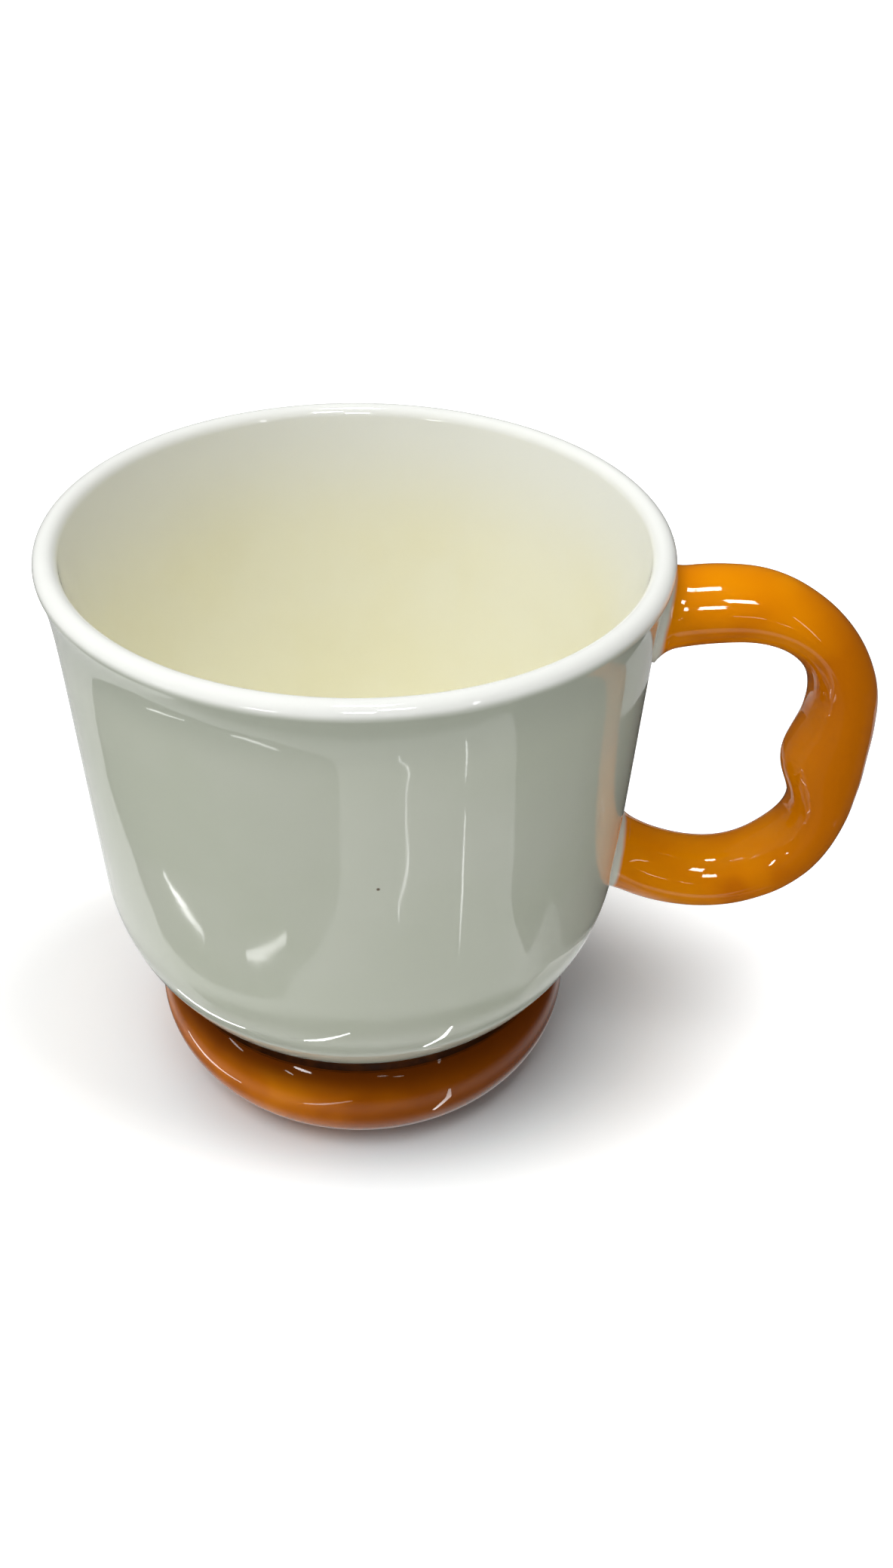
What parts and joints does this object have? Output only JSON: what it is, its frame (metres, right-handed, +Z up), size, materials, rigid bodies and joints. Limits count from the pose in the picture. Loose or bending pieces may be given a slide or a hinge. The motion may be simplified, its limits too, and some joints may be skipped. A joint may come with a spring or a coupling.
{
  "type": "footed mug",
  "caption": "Round-bottomed glazed mug on a fat ring foot, with a flared lip and an ear-shaped handle that has a finger ridge; holds a hot drink and stands on a table.",
  "frame": {"origin": "on the table, under the middle of the mug and its handle", "axes": "+Z up along the bowl's axis, +X from the bowl towards the handle, +Y to the left of the handle"},
  "size_m": [0.1372, 0.1, 0.1068],
  "materials": {
    "celadon_glaze": "glossy pale grey-green glaze, cream inside and white where it thins over the lip",
    "dark_amber_glaze": "glossy brown-amber glaze, unglazed where it stands",
    "fired_slip": "dark brown fired slip",
    "amber_glaze": "glossy amber glaze that shades to brown where it is thick",
    "collar_glaze": "glossy pale grey glaze over the slip round each end of the handle"
  },
  "bodies": {
    "root": {"bowl": "celadon_glaze", "foot_ring": "dark_amber_glaze", "foot_slip_ring": "fired_slip", "handle": "amber_glaze", "upper_handle_collar": "collar_glaze", "lower_handle_collar": "collar_glaze"}
  },
  "joints": []
}
